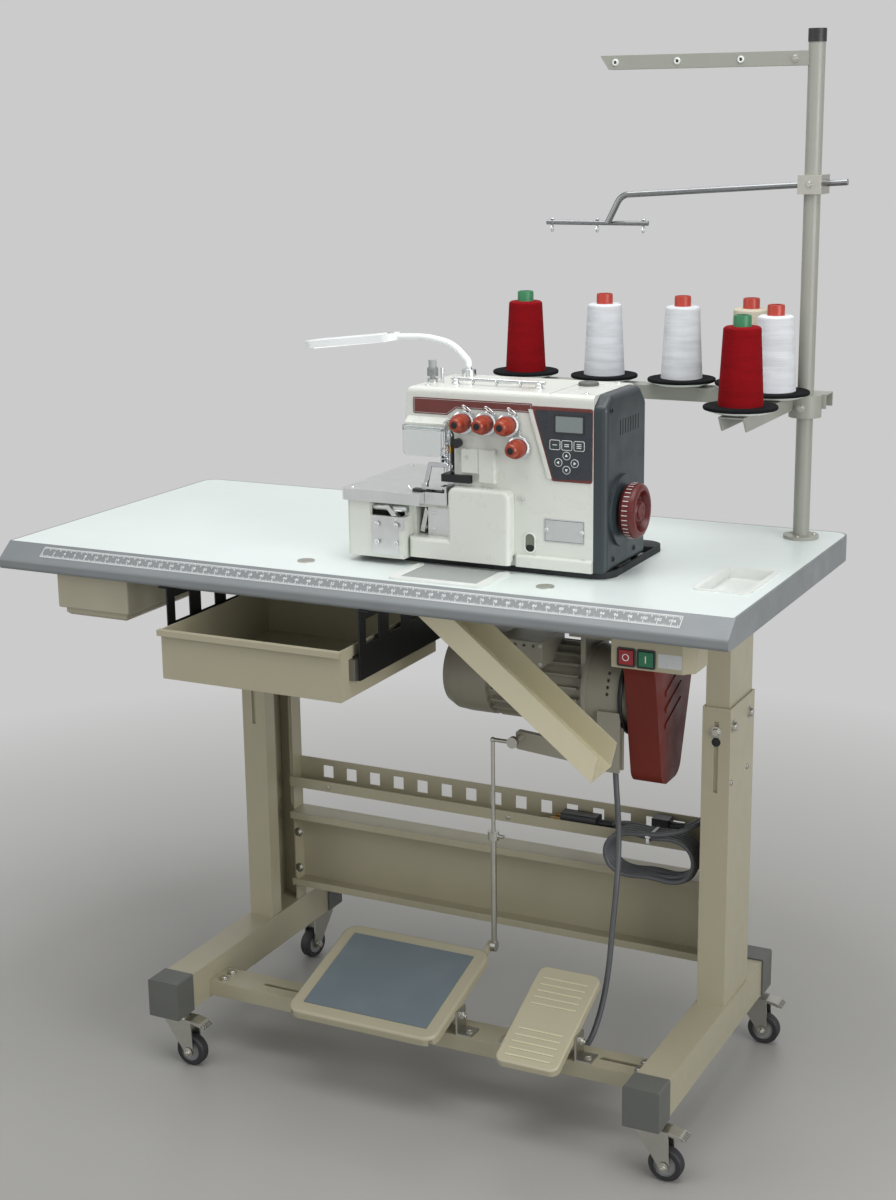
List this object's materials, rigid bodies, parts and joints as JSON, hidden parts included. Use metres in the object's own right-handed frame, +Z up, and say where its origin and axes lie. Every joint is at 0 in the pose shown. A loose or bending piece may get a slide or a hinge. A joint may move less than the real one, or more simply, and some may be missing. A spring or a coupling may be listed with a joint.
{
  "type": "overlock sewing machine",
  "caption": "Industrial overlock sewing station: machine head with hand wheel and thread stand on a height-adjustable table with motor, treadle, drawers and swivel casters.",
  "frame": {"origin": "on the floor, below the middle of the table top", "axes": "+Z up, +X to the operator's right along the table, +Y away from the operator"},
  "size_m": [1.2, 0.662, 1.611],
  "materials": {
    "stand_paint": "satin beige powder coat",
    "cap_grey": "moulded grey plastic",
    "laminate": "pale laminate on board",
    "edge_grey": "extruded grey edge",
    "zinc": "zinc plated",
    "bright_steel": "polished steel",
    "tyre_black": "black rubber",
    "mat_rubber": "ribbed rubber mat",
    "insert_grey": "grey plastic insert",
    "drawer_grey": "grey-beige moulded plastic",
    "switch_cream": "cream moulded plastic",
    "stop_red": "red push button",
    "start_green": "green push button",
    "motor_paint": "grey-beige paint on castings",
    "pulley_metal": "turned aluminium",
    "belt_rubber": "black V belt",
    "guard_red": "red moulded cover",
    "head_paint": "off-white enamel on cast iron",
    "cover_paint": "off-white enamel",
    "end_slate": "slate grey moulded cover",
    "panel_navy": "navy control panel",
    "knob_red": "red-orange knob",
    "wheel_red": "dark red hand wheel",
    "clear_guard": "clear plastic guard",
    "lamp_white": "white lamp",
    "pole_paint": "pale painted tube",
    "foam_black": "black foam disc on a plastic dish",
    "yarn": "wound thread",
    "cord_grey": "dark grey cable",
    "plug_black": "moulded plug"
  },
  "bodies": {
    "stand": {"leg_frames": "stand_paint", "beam_end_caps": "cap_grey", "stretcher": "stand_paint", "cable_channel": "stand_paint", "foot_bar": "stand_paint", "pedal_cable": "cord_grey", "power_cord": "cord_grey", "power_plug": "plug_black"},
    "table": {"inner_posts": "stand_paint", "table_top": "laminate", "edge_band": "edge_grey", "table_inserts": "insert_grey", "drawer_rails": "zinc", "box_case": "drawer_grey", "switch_box": "switch_cream", "waste_chute": "stand_paint", "motor_body": "motor_paint", "drive_belt": "belt_rubber", "belt_cover": "guard_red", "machine_frame": "head_paint", "top_cover": "cover_paint", "end_cover": "end_slate", "control_panel": "panel_navy", "needle_plate": "bright_steel", "thread_guides": "bright_steel", "thread_pole": "pole_paint", "spool_arms": "pole_paint", "spool_rests": "foam_black", "thread_bars": "bright_steel", "thread_cones": "yarn"},
    "drawer": {"drawer": "stand_paint"},
    "box_drawer": {"box_drawer": "drawer_grey"},
    "stop_button": {"stop_button": "stop_red"},
    "start_button": {"start_button": "start_green"},
    "treadle": {"treadle": "stand_paint", "treadle_mat": "mat_rubber"},
    "small_pedal": {"small_pedal": "stand_paint"},
    "rod_lower": {"rod_lower": "zinc"},
    "rod_upper": {"rod_upper": "zinc"},
    "clutch_lever": {"clutch_lever": "motor_paint"},
    "motor_pulley": {"motor_pulley": "pulley_metal"},
    "hand_wheel": {"hand_wheel": "wheel_red"},
    "looper_cover": {"looper_cover": "cover_paint"},
    "cloth_plate": {"cloth_plate": "bright_steel"},
    "presser_foot": {"presser_foot": "bright_steel"},
    "needle_bar": {"needle_bar": "bright_steel"},
    "needle_guard": {"needle_guard": "clear_guard"},
    "work_lamp": {"work_lamp": "lamp_white"},
    "tension_knob_1": {"tension_knob_1": "knob_red"},
    "tension_knob_2": {"tension_knob_2": "knob_red"},
    "tension_knob_3": {"tension_knob_3": "knob_red"},
    "tension_knob_4": {"tension_knob_4": "knob_red"},
    "caster_fork_front_left": {"caster_fork_front_left": "zinc"},
    "caster_wheel_front_left": {"caster_wheel_front_left": "tyre_black"},
    "caster_fork_front_right": {"caster_fork_front_right": "zinc"},
    "caster_wheel_front_right": {"caster_wheel_front_right": "tyre_black"},
    "caster_fork_rear_left": {"caster_fork_rear_left": "zinc"},
    "caster_wheel_rear_left": {"caster_wheel_rear_left": "tyre_black"},
    "caster_fork_rear_right": {"caster_fork_rear_right": "zinc"},
    "caster_wheel_rear_right": {"caster_wheel_rear_right": "tyre_black"}
  },
  "joints": [
    {"name": "table_height", "type": "slide", "parent": "stand", "child": "table", "axis": [0, 0, 1], "range_m": [-0.06, 0.1], "deforming": ["pedal_cable"]},
    {"name": "drawer_slide", "type": "slide", "parent": "table", "child": "drawer", "axis": [0, -1, 0], "range_m": [-0.03, 0.2]},
    {"name": "box_drawer_slide", "type": "slide", "parent": "table", "child": "box_drawer", "axis": [0, -1, 0], "range_m": [0, 0.14]},
    {"name": "stop_press", "type": "slide", "parent": "table", "child": "stop_button", "axis": [0, 1, 0], "range_m": [0, 0.0025], "stiffness_N_per_m": 150, "springref_m": -0.004},
    {"name": "start_press", "type": "slide", "parent": "table", "child": "start_button", "axis": [0, 1, 0], "range_m": [0, 0.0025], "stiffness_N_per_m": 150, "springref_m": -0.004},
    {"name": "treadle_tilt", "type": "hinge", "parent": "stand", "child": "treadle", "pos_m": [0.017, -0.19, 0.148], "axis": [1, 0, 0], "range_deg": [-8, 8], "stiffness_Nm_per_rad": 60},
    {"name": "rod_lower_lift", "type": "slide", "parent": "stand", "child": "rod_lower", "axis": [0, 0, 1], "range_m": [-0.022, 0.022]},
    {"name": "rod_upper_lift", "type": "slide", "parent": "table", "child": "rod_upper", "axis": [0, 0, 1], "range_m": [-0.022, 0.022]},
    {"name": "clutch_lever_swing", "type": "hinge", "parent": "table", "child": "clutch_lever", "pos_m": [0.32, -0.014, 0.532], "axis": [0, 1, 0], "range_deg": [-8, 8]},
    {"name": "small_pedal_tilt", "type": "hinge", "parent": "stand", "child": "small_pedal", "pos_m": [0.294, -0.19, 0.148], "axis": [1, 0, 0], "range_deg": [-10, 8], "stiffness_Nm_per_rad": 25},
    {"name": "hand_wheel_turn", "type": "hinge", "parent": "table", "child": "hand_wheel", "pos_m": [0.3585, -0.091, 0.943], "axis": [1, 0, 0], "continuous": true},
    {"name": "motor_turn", "type": "hinge", "parent": "table", "child": "motor_pulley", "pos_m": [0.3585, 0.042, 0.633], "axis": [1, 0, 0], "continuous": true},
    {"name": "looper_cover_open", "type": "hinge", "parent": "table", "child": "looper_cover", "pos_m": [0.176, -0.156, 0.87], "axis": [1, 0, 0], "range_deg": [0, 80]},
    {"name": "cloth_plate_swing", "type": "hinge", "parent": "table", "child": "cloth_plate", "pos_m": [-0.022, 0.024, 0.943], "axis": [0, 0, 1], "range_deg": [-70, 0]},
    {"name": "presser_lift", "type": "slide", "parent": "table", "child": "presser_foot", "axis": [0, 0, 1], "range_m": [0, 0.006], "stiffness_N_per_m": 800, "springref_m": -0.02},
    {"name": "needle_stroke", "type": "slide", "parent": "table", "child": "needle_bar", "axis": [0, 0, 1], "range_m": [-0.024, 0]},
    {"name": "guard_flip", "type": "hinge", "parent": "table", "child": "needle_guard", "pos_m": [0.091, -0.168, 1.056], "axis": [1, 0, 0], "range_deg": [-100, 0]},
    {"name": "lamp_swivel", "type": "hinge", "parent": "table", "child": "work_lamp", "pos_m": [0.09, -0.017, 1.113], "axis": [0, 0, 1], "range_deg": [-60, 60]},
    {"name": "tension_1_turn", "type": "hinge", "parent": "table", "child": "tension_knob_1", "pos_m": [0.1485, -0.15, 1.066], "axis": [0, 1, 0], "continuous": true},
    {"name": "tension_2_turn", "type": "hinge", "parent": "table", "child": "tension_knob_2", "pos_m": [0.184, -0.15, 1.066], "axis": [0, 1, 0], "continuous": true},
    {"name": "tension_3_turn", "type": "hinge", "parent": "table", "child": "tension_knob_3", "pos_m": [0.2195, -0.15, 1.066], "axis": [0, 1, 0], "continuous": true},
    {"name": "tension_4_turn", "type": "hinge", "parent": "table", "child": "tension_knob_4", "pos_m": [0.2365, -0.15, 1.0345], "axis": [0, 1, 0], "continuous": true},
    {"name": "swivel_front_left", "type": "hinge", "parent": "stand", "child": "caster_fork_front_left", "pos_m": [-0.33, -0.263, 0.08], "axis": [0, 0, 1], "continuous": true},
    {"name": "roll_front_left", "type": "hinge", "parent": "caster_fork_front_left", "child": "caster_wheel_front_left", "pos_m": [-0.303, -0.263, 0.026], "axis": [0, 1, 0], "continuous": true},
    {"name": "swivel_front_right", "type": "hinge", "parent": "stand", "child": "caster_fork_front_right", "pos_m": [0.487, -0.263, 0.08], "axis": [0, 0, 1], "continuous": true},
    {"name": "roll_front_right", "type": "hinge", "parent": "caster_fork_front_right", "child": "caster_wheel_front_right", "pos_m": [0.514, -0.263, 0.026], "axis": [0, 1, 0], "continuous": true},
    {"name": "swivel_rear_left", "type": "hinge", "parent": "stand", "child": "caster_fork_rear_left", "pos_m": [-0.33, 0.202, 0.08], "axis": [0, 0, 1], "continuous": true},
    {"name": "roll_rear_left", "type": "hinge", "parent": "caster_fork_rear_left", "child": "caster_wheel_rear_left", "pos_m": [-0.33469, 0.17541, 0.026], "axis": [0.9848, -0.1736, 0], "continuous": true},
    {"name": "swivel_rear_right", "type": "hinge", "parent": "stand", "child": "caster_fork_rear_right", "pos_m": [0.487, 0.202, 0.08], "axis": [0, 0, 1], "continuous": true},
    {"name": "roll_rear_right", "type": "hinge", "parent": "caster_fork_rear_right", "child": "caster_wheel_rear_right", "pos_m": [0.514, 0.202, 0.026], "axis": [0, 1, 0], "continuous": true}
  ],
  "couplings": [
    {"joint": "rod_lower_lift", "follows": "treadle_tilt", "m_per_rad": 0.13992},
    {"joint": "rod_upper_lift", "follows": "treadle_tilt", "m_per_rad": 0.13992},
    {"joint": "clutch_lever_swing", "follows": "treadle_tilt", "ratio": 0.96494},
    {"joint": "motor_turn", "follows": "hand_wheel_turn", "ratio": 0.78947}
  ]
}
